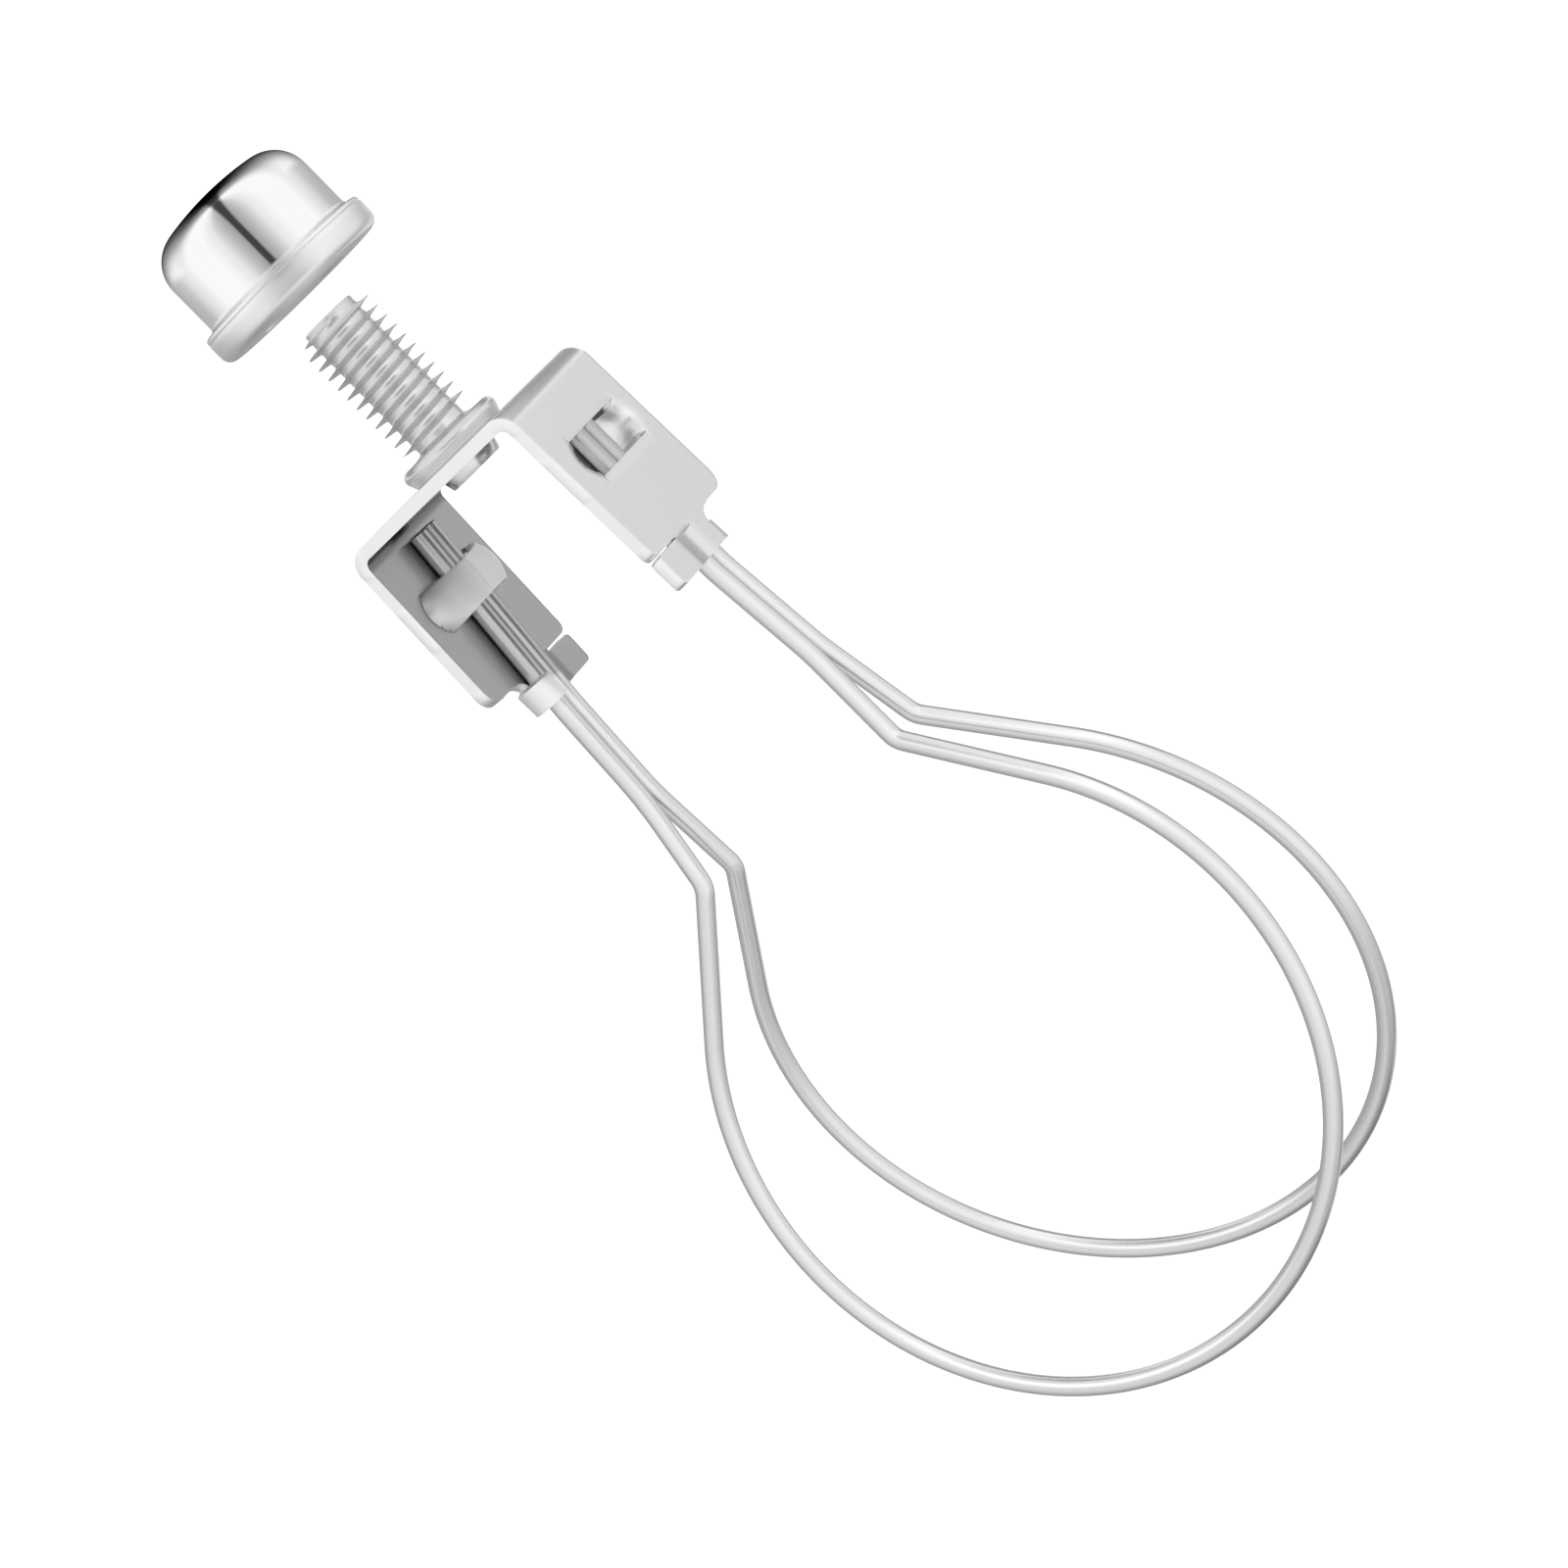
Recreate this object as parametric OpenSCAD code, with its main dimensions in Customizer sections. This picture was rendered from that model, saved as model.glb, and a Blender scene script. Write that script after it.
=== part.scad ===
// Clip-on lampshade adapter: finial, threaded stud, stamped saddle and two
// bulb-shaped spring wires. Millimetres. Z is the stud axis, the origin is the
// centre of the shade seat (the top face of the collar), X runs from leg to leg.

/* [Wire] */
// Wire diameter
wire_d = 1.45; // [1.2:0.05:1.8]
// Ring radius to the wire centre line
ring_r = 23.6; // [18:0.1:32]
// Drop of the ring centre below the neck bends, along the loop
ring_drop = 23.9; // [18:0.1:32]
// Half width of the loop at the neck bends
neck_half = 10.5; // [9:0.1:14]
// Height of the neck bends under the plate
neck_drop = 35.65; // [30:0.05:42]
// How much narrower and higher the left neck of the front loop is set
front_left_set = 1; // [0:0.05:1.5]
// Lean of each loop away from the middle, degrees
loop_lean = 8.35; // [4:0.05:14]
// Turn of each loop plane about the stud axis, degrees
loop_turn = 2.77; // [0:0.01:5]
// Distance of each loop plane from the middle at the neck bends
loop_gap = 2.54; // [1.2:0.02:5]
// Centre distance of the two wires where they lie side by side
pair_gap = 1.6; // [1.5:0.02:2]
// Centre line radius of the neck bends
neck_bend_r = 2; // [1.2:0.1:4]

/* [Saddle] */
// Sheet thickness
sheet_t = 1; // [0.6:0.05:1.5]
// Strip width
strip_w = 13; // [9:0.1:18]
// Outer width across the top bends
saddle_w = 18.5; // [14:0.1:26]
// Outer radius of the top bends
bend_r = 1.7; // [1.1:0.1:3]
// Outward splay of each leg, degrees
splay = 2.3; // [0:0.1:8]
// Height of each leg below the bend centre
leg_h = 13.05; // [10:0.05:18]
// Radius of the lower leg corners
leg_corner_r = 1.4; // [0.5:0.1:3]
// Height of the tab, from leg bottom to tab bottom
tab_h = 2.8; // [2:0.1:5]
// Slot between the leg and the tab ears
ear_slot = 0.3; // [0.2:0.05:1.2]
// Reach of the flat ear from the middle
ear_reach = 6.3; // [4:0.1:7]
// Height of the wire bridge, right leg and left leg
bridge_h = [3.6, 3.2]; // [2:0.1:4]
// Depth of the bridge centre below the bend centre, right leg and left leg
bridge_drop = [4.9, 5.5]; // [4:0.1:8]

/* [Stud] */
// Thread outside diameter
thread_d = 6.35; // [5:0.05:8]
// Thread root diameter
root_d = 4.36; // [3.5:0.02:5.5]
// Thread pitch
pitch = 0.941; // [0.7:0.001:1.3]
// Number of thread crests
crests = 12; // [6:1:14]
// Stud length above the collar
stud_h = 11.75; // [8:0.05:16]
// Collar diameter
collar_d = 8.7; // [7:0.1:12]
// Collar height
collar_h = 1.5; // [0.8:0.05:2.5]

/* [Finial] */
// Body diameter
cap_d = 13; // [10:0.1:18]
// Flange diameter
flange_d = 14.85; // [11:0.05:20]
// Overall height
cap_h = 9.75; // [8:0.05:14]
// Flange height
flange_h = 2.5; // [1.5:0.1:3.5]
// Crown corner radius
crown_r = 2.9; // [1:0.1:4]
// Radius of the shallow dome on top
dome_r = 23.2; // [14:0.1:60]
// Bore diameter
cap_bore_d = 6.8; // [6.5:0.05:7.5]
// Wall left over the bore
cap_wall = 1; // [0.6:0.1:2]
// Height of the unscrewed cap above the stud end
cap_lift = 2.15; // [0:0.05:10]

/* [Hidden] */
$fn = 64;
wire_r = wire_d / 2;
plate_z = -collar_h;
bend_x = saddle_w / 2 - bend_r;
inner_r = bend_r - sheet_t;
wire_play = 0.03;
// wire centre inside the leg frame: n is outward, y along the strip, s downward
wire_n = inner_r - wire_play - wire_r;
wire_top_s = -0.5;
wire_end_s = -16.9;
// wire pair across the strip, right leg and left leg, in each leg's own frame
top_y = [1.4, -0.6];
end_y = [0.8, 0.95];
function pick(pair, side) = side > 0 ? pair[0] : pair[1];
function wire_top_y(side) = pick(top_y, side);
function wire_end_y(side) = pick(end_y, side);
tail_end = wire_r + 0.05;
function wire_slant(side) = atan2(wire_end_y(side) - wire_top_y(side), wire_top_s - wire_end_s);
strap_t = 0.75;
strap_in_r = 2.3;
strap_half = 1.95;
strap_y = 0.85;
strap_n = wire_n - wire_r - 0.07 + strap_in_r;
neck_half_w = 3;
function tab_edge(side) = wire_end_y(side) + pair_gap / 2 - 0.1;

// A point of the right leg frame in the part frame; side -1 is the left leg.
function leg_pt(n, y, s, side) = [
  side * (bend_x + n * cos(splay) - s * sin(splay)),
  side * y,
  plate_z - bend_r + n * sin(splay) + s * cos(splay)];
// Loop plane: side 1 is the back loop, side -1 the front loop.
function loop_y(x, z, side) =
  side * (loop_gap + tan(loop_lean) * (plate_z - neck_drop - z))
  - side * tan(loop_turn) * x;
function loop_pt(x, z, side) = [x, loop_y(x, z, side), z];
neck_z = plate_z - neck_drop;
ring_z = neck_z - ring_drop * cos(loop_lean);
// ring centre and in-plane axes
function ring_c(side) = loop_pt(0, ring_z, side);
function unit(v) = v / norm(v);
function ring_u(side) = unit(loop_pt(1, ring_z, side) - ring_c(side));
function ring_w(side) = let (n = cross(ring_u(side), loop_pt(0, ring_z + 1, side) - ring_c(side)))
  unit(cross(n, ring_u(side)));
// neck bend and split points
function neck_pt(xs, side) = let (set = xs < 0 && side < 0 ? front_left_set : 0)
  loop_pt(xs * (neck_half - set), neck_z + set, side);
split_z = plate_z - 27.3;
split_x = 9.3;
function split_pt(xs, side) =
  [xs * split_x, (xs > 0 ? 0.5 : -0.15) + side * pair_gap / 2, split_z];
// hinge ends of the loops, at the crimp exits
function exit_pt(xs, side) =
  leg_pt(wire_n, wire_end_y(xs) + xs * side * pair_gap / 2, wire_end_s, xs);

// In-plane angle of the point where the neck line touches the ring.
function in_plane(p, side) = [(p - ring_c(side)) * ring_u(side), (p - ring_c(side)) * ring_w(side)];
function touch_angle(xs, side) = let (q = in_plane(neck_pt(xs, side), side))
  atan2(q[1], q[0]) - xs * acos(ring_r / norm(q));
function ring_at(a, side) =
  ring_c(side) + ring_r * (cos(a) * ring_u(side) + sin(a) * ring_w(side));

// Arc points of radius r that round the corner b between runs from a and to c.
function bend_cut(a, b, c, r) = let (u = unit(b - a), v = unit(c - b))
  r * tan(acos(u * v) / 2);
function rounded(a, b, c, r, steps) =
  let (u = unit(b - a), v = unit(c - b), ang = acos(u * v),
    m = unit(v - u * (u * v)), o = b - u * bend_cut(a, b, c, r) + m * r)
  [for (i = [0:steps]) let (t = ang * i / steps) o - m * r * cos(t) + u * r * sin(t)];

// Centre line of one loop, from the right crimp exit round the ring to the left one.
split_r = 12;
ring_steps = 84;
function loop_path(side) =
  let (pr = exit_pt(1, side), sr = split_pt(1, side), nr = neck_pt(1, side),
    ar = touch_angle(1, side), al = touch_angle(-1, side),
    tr = ring_at(ar, side), tl = ring_at(al, side), nl = neck_pt(-1, side),
    sl = split_pt(-1, side), pl = exit_pt(-1, side),
    sweep = al > ar ? al - ar - 360 : al - ar)
  concat([pr], rounded(pr, sr, nr, split_r, 5), rounded(sr, nr, tr, neck_bend_r, 7),
    [for (i = [0:ring_steps]) ring_at(ar + sweep * i / ring_steps, side)],
    rounded(tl, nl, sl, neck_bend_r, 7), rounded(nl, sl, pl, split_r, 5), [pl]);

wire_sides = 18;
end_steps = 4;
// One round section of the wire: centre c, direction t, radius r.
function wire_ring(c, t, r, n) = let (e = unit(n - t * (n * t)), f = cross(t, e))
  [for (k = [0:wire_sides - 1]) c + r * (cos(k * 360 / wire_sides) * e + sin(k * 360 / wire_sides) * f)];
module loop_wire(side) {
  p = loop_path(side);
  last = len(p) - 1;
  n = cross(ring_u(side), ring_w(side));
  t0 = unit(p[1] - p[0]);
  t1 = unit(p[last] - p[last - 1]);
  rings = concat(
    [for (i = [end_steps:-1:1]) wire_ring(p[0] - t0 * wire_r * sin(i * 20), t0, wire_r * cos(i * 20), n)],
    [for (i = [0:last]) let (t = i == 0 ? t0 : i == last ? t1 : unit(p[i + 1] - p[i - 1]))
      wire_ring(p[i], t, wire_r, n)],
    [for (i = [1:end_steps]) wire_ring(p[last] + t1 * wire_r * sin(i * 20), t1, wire_r * cos(i * 20), n)]);
  m = len(rings);
  w = wire_sides;
  polyhedron(
    points = [for (q = rings) each q],
    faces = concat(
      [[for (k = [0:w - 1]) k]],
      [for (i = [0:m - 2], k = [0:w - 1]) [i * w + k, (i + 1) * w + k, i * w + (k + 1) % w]],
      [for (i = [0:m - 2], k = [0:w - 1]) [i * w + (k + 1) % w, (i + 1) * w + k, (i + 1) * w + (k + 1) % w]],
      [[for (k = [w - 1:-1:0]) (m - 1) * w + k]]));
}

module leg_frame(side) {
  rotate([0, 0, side > 0 ? 0 : 180]) translate([bend_x, 0, plate_z - bend_r])
    rotate([0, -splay, 0]) children();
}
// Straight end of one wire, held under the bridge and the curled ear.
module wire_tail(side, row) {
  leg_frame(side) translate([wire_n, wire_top_y(side) + side * row * pair_gap / 2, wire_top_s])
    rotate([wire_slant(side), 0, 0]) rotate([180, 0, 0])
      cylinder(r = wire_r, h = (wire_top_s - wire_end_s) / cos(wire_slant(side)) - tail_end);
}

// Outline of one leg, drawn flat: first axis along the strip, second downward.
module leg_outline(side) {
  hw = strip_w / 2;
  rc = leg_corner_r;
  difference() {
    union() {
      translate([-hw - 1, -leg_h + rc]) square([strip_w + 2, leg_h]);
      translate([-hw + rc, -leg_h]) square([strip_w - 2 * rc, leg_h]);
      translate([-hw + rc, -leg_h + rc]) circle(r = rc);
      translate([hw - rc, -leg_h + rc]) circle(r = rc);
      translate([-ear_reach, -leg_h - tab_h - 1]) square([ear_reach + tab_edge(side), tab_h + 1 - ear_slot]);
      translate([-neck_half_w, -leg_h - tab_h]) square([2 * neck_half_w, tab_h + 1]);
    }
    translate([-neck_half_w, -leg_h - ear_slot / 2]) circle(r = ear_slot / 2);
    translate([-ear_reach - 1, -leg_h - ear_slot]) square([ear_reach + 1 - neck_half_w, ear_slot]);
    translate([neck_half_w, -leg_h - 0.55]) circle(r = 0.55);
    translate([tab_edge(side), -leg_h - tab_h - 2]) square([3, tab_h + 2 - ear_slot]);
    translate([-ear_reach, -leg_h - tab_h]) rotate([0, 0, 45]) square(0.9, center = true);
    translate([-ear_reach, -leg_h - ear_slot]) rotate([0, 0, 45]) square(0.5, center = true);
  }
}

// Bridge over the two wires: section across the leg, first axis outward.
module bridge_shape(r) {
  translate([strap_n, strap_y - strap_half]) circle(r = r);
  translate([strap_n, strap_y + strap_half]) circle(r = r);
  translate([strap_n - r, strap_y - strap_half]) square([2 * r, 2 * strap_half]);
}

// Curled ear: a half round turn of the sheet about the outer wire of the pair.
module curl_shape() {
  ri = wire_r + wire_play + 0.03;
  ro = ri + sheet_t - 0.08;
  difference() {
    union() {
      intersection() {
        circle(r = ro);
        translate([-ro, 0]) square([2 * ro, ro]);
      }
      translate([-ro, -0.1]) square([ro - ri, 0.11]);
      translate([ri, -0.4]) square([ro - ri, 0.41]);
    }
    circle(r = ri);
  }
}

// What is cut away from a leg, drawn along its outward axis.
module leg_cuts(side) {
  translate([-2, 0, 0]) rotate([90, 0, 90]) linear_extrude(height = 6) difference() {
    translate([-strip_w, -leg_h - tab_h - 3]) square([2 * strip_w, tab_h + 3 + 2.5]);
    leg_outline(side);
  }
  translate([-2, 0, -pick(bridge_drop, side) - pick(bridge_h, side) / 2])
    linear_extrude(height = pick(bridge_h, side))
    translate([0, strap_y - strap_half - strap_in_r])
      square([6, 2 * (strap_half + strap_in_r)]);
}
// What stands inward of a leg: the bridge and the curled ear.
module leg_extras(side) {
  strap_h = pick(bridge_h, side) - 0.16;
  translate([0, 0, -pick(bridge_drop, side) - strap_h / 2]) linear_extrude(height = strap_h)
    intersection() {
      difference() {
        bridge_shape(strap_in_r + strap_t);
        bridge_shape(strap_in_r);
      }
      translate([-5, -10]) square([5 + inner_r + 0.6, 20]);
    }
  intersection() {
    translate([wire_n, wire_end_y(side) + pair_gap / 2, wire_end_s]) rotate([wire_slant(side), 0, 0])
      translate([0, 0, -1]) linear_extrude(height = 6) curl_shape();
    translate([-6, 0, -leg_h - tab_h + 0.04]) cube([12, 8, tab_h - ear_slot - 0.08]);
  }
}

// Half of the strip's side profile, from the middle of the plate down the right leg.
function half_top() = concat(
  [for (i = [0:10]) let (a = 90 - i * (90 - splay) / 10)
    [bend_x + bend_r * cos(a), plate_z - bend_r + bend_r * sin(a)]],
  [low_pt(bend_r)]);
function half_under() = concat([low_pt(inner_r)],
  [for (i = [10:-1:0]) let (a = 90 - i * (90 - splay) / 10)
    [bend_x + inner_r * cos(a), plate_z - bend_r + inner_r * sin(a)]]);
function low_pt(n) = let (s = -leg_h - tab_h)
  [bend_x + n * cos(splay) - s * sin(splay), plate_z - bend_r + n * sin(splay) + s * cos(splay)];
function flip(p) = [for (i = [len(p) - 1:-1:0]) [-p[i][0], p[i][1]]];

module saddle() {
  color([0.82, 0.82, 0.84]) {
    difference() {
      translate([0, strip_w / 2, 0]) rotate([90, 0, 0]) linear_extrude(height = strip_w)
        polygon(concat(half_top(), half_under(), flip(half_under()), flip(half_top())));
      leg_frame(1) leg_cuts(1);
      leg_frame(-1) leg_cuts(-1);
      translate([0, 0, plate_z - sheet_t - 1]) cylinder(r = root_d / 2 + 0.02, h = sheet_t + 2);
    }
    leg_frame(1) leg_extras(1);
    leg_frame(-1) leg_extras(-1);
  }
}

// Crest i of the thread, counted from the top: outline points from its upper side down.
crest_top = 0.62;
crest_half = 0.28;
crest_flat = 0.03;
function thread_pts(i) = let (z = stud_h - crest_top - i * pitch)
  [[root_d / 2, z + crest_half], [thread_d / 2, z + crest_flat],
   [thread_d / 2, z - crest_flat], [root_d / 2, z - crest_half]];
// Hollow fillet at the foot of the thread; the flat seat ring starts outside it.
seat_in_r = thread_d / 2 + 0.05;
foot_h = 0.3;
foot_steps = 5;
function foot_pts() = [for (i = [0:foot_steps]) let (a = 90 * i / foot_steps)
  [seat_in_r - (seat_in_r - root_d / 2) * cos(a), foot_h * (1 - sin(a))]];
// Riveted tail under the plate.
rim_r = 0.62;
rim_under = 0.25;
tail_top_r = 2.45;
tail_low_r = 2.24;
tail_h = 0.86;
module stud() {
  rc = collar_d / 2;
  under = plate_z - sheet_t;
  color([0.8, 0.8, 0.82]) rotate_extrude($fn = 96)
    polygon(concat([[0, stud_h], [root_d / 2, stud_h]],
      [for (i = [0:crests - 1]) each thread_pts(i)],
      foot_pts(),
      [for (a = [90:-15:0]) [rc - rim_r + rim_r * cos(a), rim_r * sin(a) - rim_r]],
      [[rc, plate_z + rim_under], [rc - rim_under, plate_z], [root_d / 2, plate_z], [root_d / 2, under],
        [tail_top_r, under], [tail_low_r, under - tail_h], [0, under - tail_h]]));
}

// Flange outline: rounded foot, straight rim, small top corner and a slope up to the body.
foot_r = 0.75;
rim_top_r = 0.25;
rim_slope = 0.25;
function flange_pts() = let (fr = flange_d / 2) concat([[0, 0]],
  [for (a = [-90:15:0]) [fr - foot_r + foot_r * cos(a), foot_r + foot_r * sin(a)]],
  [for (a = [0:15:75]) [fr - rim_top_r + rim_top_r * cos(a), flange_h - rim_top_r + rim_top_r * sin(a)]],
  [[cap_d / 2, flange_h + rim_slope], [0, flange_h + rim_slope]]);
module finial() {
  cr = cap_d / 2;
  corner_x = cr - crown_r;
  corner_z = cap_h - dome_r + sqrt(pow(dome_r - crown_r, 2) - pow(corner_x, 2));
  color([0.86, 0.86, 0.88]) translate([0, 0, stud_h + cap_lift]) difference() {
    rotate_extrude($fn = 128) intersection() {
      union() {
        translate([0, foot_r]) square([cr, corner_z - foot_r]);
        square([corner_x, cap_h]);
        translate([corner_x, corner_z]) circle(r = crown_r);
        polygon(flange_pts());
      }
      translate([0, cap_h - dome_r]) circle(r = dome_r, $fn = 512);
    }
    translate([0, 0, -1]) cylinder(d = cap_bore_d, h = cap_h - cap_wall + 1);
  }
}

module front_loop() { color([0.78, 0.78, 0.8]) loop_wire(-1); }
module back_loop() { color([0.84, 0.84, 0.86]) loop_wire(1); }
module front_tail_right() { color([0.78, 0.78, 0.8]) wire_tail(1, -1); }
module front_tail_left() { color([0.78, 0.78, 0.8]) wire_tail(-1, -1); }
module back_tail_right() { color([0.84, 0.84, 0.86]) wire_tail(1, 1); }
module back_tail_left() { color([0.84, 0.84, 0.86]) wire_tail(-1, 1); }

finial();
stud();
saddle();
front_loop();
back_loop();
front_tail_right();
front_tail_left();
back_tail_right();
back_tail_left();
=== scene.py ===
import math

import bmesh
import bpy
import numpy as np
from mathutils import Matrix


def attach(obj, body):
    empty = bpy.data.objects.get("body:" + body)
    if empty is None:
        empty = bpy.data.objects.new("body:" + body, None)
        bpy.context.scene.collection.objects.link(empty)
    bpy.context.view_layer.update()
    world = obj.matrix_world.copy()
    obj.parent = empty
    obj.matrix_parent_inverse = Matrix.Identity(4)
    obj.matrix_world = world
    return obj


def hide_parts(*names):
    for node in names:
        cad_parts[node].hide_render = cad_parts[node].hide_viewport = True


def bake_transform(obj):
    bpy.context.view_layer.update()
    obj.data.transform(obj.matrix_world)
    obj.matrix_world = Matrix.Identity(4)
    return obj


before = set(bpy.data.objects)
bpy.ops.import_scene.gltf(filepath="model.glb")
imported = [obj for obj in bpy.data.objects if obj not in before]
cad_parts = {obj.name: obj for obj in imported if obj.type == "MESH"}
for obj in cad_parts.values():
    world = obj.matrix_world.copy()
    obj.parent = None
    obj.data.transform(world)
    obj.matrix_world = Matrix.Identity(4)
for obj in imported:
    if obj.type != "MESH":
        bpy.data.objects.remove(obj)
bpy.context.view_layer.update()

MM = 0.001
UP = np.array([0.0, 0.0, 1.0])
scene = bpy.context.scene

# ------------------------------------------------------------------ sizes, mm
# pairs keyed 1 and -1 belong to the right and the left leg
WIRE_R = 0.725
WIRE_CHAMFER = 0.12
RING_R = 23.6
RING_DROP = 23.9
NECK_HALF = 10.5
NECK_DROP = 35.65
NECK_R = 2.0
SPLIT_DROP = 27.3  # where the two wires of a leg part
SPLIT_X = 9.3
SPLIT_Y = {1: 0.5, -1: -0.15}
LEFT_SET = 1.0  # the front wire's left shoulder is set in and up by this much
LEAN = math.radians(8.35)
TURN = math.radians(2.77)
LOOP_GAP = 2.54
PAIR = 1.6  # between the two wires of a leg
SHEET = 1.0
STRIP = 13.0
BEND_R = 1.7
BEND_X = 18.5 / 2 - BEND_R
SPLAY = math.radians(2.3)
LEG_H = 13.05
CORNER_R = (0.7, 1.3)  # lower corners of a leg, -y and +y
TAB_H = 2.8
SLOT = {1: 0.14, -1: 0.26}  # over the flat ear
EAR = 6.3
EAR_CORNER = 0.42
NECK_LEFT, NECK_RIGHT = 3.0, 3.45  # half widths of the tab's middle
FILLET_H = 0.85
CURL_R, CURL_CLOSE = 1.255, 0.06
CURL_TURN = math.radians(172)
BRIDGE_H = {1: 3.4, -1: 3.15}
BRIDGE_DROP = {1: 4.95, -1: 5.5}
BRIDGE_ENDS = {1: (-3.7, 4.5), -1: (-4.1, 4.1)}
BRIDGE_BOW = {1: (2.0, 2.3), -1: (2.4, 1.45)}  # powers of the bridge's curve at each end
BRIDGE_DEPTH = 2.52
BRIDGE_BULGE = 1.0
CUT_GAP = 0.05
PLATE_Z = -1.5
COLLAR_R = 4.35
COLLAR_ROUND = 0.62
SEAT_R = 3.225
SEAT_FILLET = 0.3
THREAD_R = 3.175
ROOT_R = 2.18
PITCH = 0.941
STUD_H = 11.75
STUD_HOLE_R = 2.4
CAP_Z = 13.9
CAP_R = 6.5
CAP_H = 9.75
FLANGE_R = 7.425
FLANGE_H = 2.5
CROWN_R = 2.9
DOME_R = 23.2
BORE_R = 3.4
WIRE_N = BEND_R - SHEET - 0.03 - WIRE_R  # wire centre, outwards from the bend centre
TOP_S, END_S = -0.5, -16.9
TOP_Y = {1: 1.4, -1: -0.6}
END_Y = {1: 0.8, -1: 0.95}


def unit(v):
    v = np.asarray(v, float)
    return v / np.linalg.norm(v)


def leg_pt(n, y, s, side):
    """Leg frame (outward, across, down) to the part frame, in millimetres."""
    return np.array(
        [
            side * (BEND_X + n * math.cos(SPLAY) - s * math.sin(SPLAY)),
            side * y,
            PLATE_Z - BEND_R + n * math.sin(SPLAY) + s * math.cos(SPLAY),
        ]
    )


# ------------------------------------------------------------------ wires
def loop_pt(x, z, side):
    y = side * (LOOP_GAP + math.tan(LEAN) * (PLATE_Z - NECK_DROP - z))
    return np.array([x, y - side * math.tan(TURN) * x, z])


def rounded(a, b, c, r, steps):
    """Arc of radius r that rounds the corner b between a and c."""
    u, v = unit(b - a), unit(c - b)
    ang = math.acos(float(np.clip(u @ v, -1, 1)))
    m = unit(v - u * (u @ v))
    o = b - u * r * math.tan(ang / 2) + m * r
    return [
        o - m * r * math.cos(ang * i / steps) + u * r * math.sin(ang * i / steps)
        for i in range(steps + 1)
    ]


def wire_path(side):
    """Centre line of one spring wire: right tail, loop, left tail."""
    neck_z = PLATE_Z - NECK_DROP
    ring_z = neck_z - RING_DROP * math.cos(LEAN)
    c = loop_pt(0, ring_z, side)
    u = unit(loop_pt(1, ring_z, side) - c)
    w = unit(np.cross(np.cross(u, loop_pt(0, ring_z + 1, side) - c), u))

    def neck(xs):
        cut = LEFT_SET if xs < 0 and side < 0 else 0.0
        return loop_pt(xs * (NECK_HALF - cut), neck_z + cut, side)

    def split(xs):
        return np.array([xs * SPLIT_X, SPLIT_Y[xs] + side * PAIR / 2, PLATE_Z - SPLIT_DROP])

    def tail(xs):
        dy = xs * side * PAIR / 2
        return (
            leg_pt(WIRE_N, TOP_Y[xs] + dy, TOP_S, xs),
            leg_pt(WIRE_N, END_Y[xs] + dy, END_S, xs),
        )

    def touch(xs):
        p = neck(xs) - c
        q = (p @ u, p @ w)
        return math.atan2(q[1], q[0]) - xs * math.acos(RING_R / math.hypot(*q))

    def ring(a):
        return c + RING_R * (math.cos(a) * u + math.sin(a) * w)

    ar, al = touch(1), touch(-1)
    sweep = al - ar - (2 * math.pi if al > ar else 0)
    tr, pr = tail(1)
    tl, pl = tail(-1)
    pts = [tr]
    pts += rounded(tr, pr, split(1), 4, 6)
    pts += rounded(pr, split(1), neck(1), 12, 8)
    pts += rounded(split(1), neck(1), ring(ar), NECK_R, 12)
    pts += [ring(ar + sweep * i / 220) for i in range(221)]
    pts += rounded(ring(al), neck(-1), split(-1), NECK_R, 12)
    pts += rounded(neck(-1), split(-1), pl, 12, 8)
    pts += rounded(split(-1), pl, tl, 4, 6)
    pts += [tl]
    return np.array(pts)


def resample(p, step):
    """Points along a broken line, no further apart than step."""
    out = [p[0]]
    for a, b in zip(p[:-1], p[1:]):
        length = np.linalg.norm(b - a)
        n = max(1, int(math.ceil(length / step)))
        out += [a + (b - a) * (k + 1) / n for k in range(n) if length > 1e-9]
    return np.array(out)


def finish_mesh(name, verts, faces, smooth_deg=35):
    me = bpy.data.meshes.new(name)
    me.from_pydata([tuple(v) for v in verts], [], faces)
    me.validate()
    me.shade_smooth()
    if smooth_deg:
        me.set_sharp_from_angle(angle=math.radians(smooth_deg))
    ob = bpy.data.objects.new(name, me)
    scene.collection.objects.link(ob)
    return ob


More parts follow.
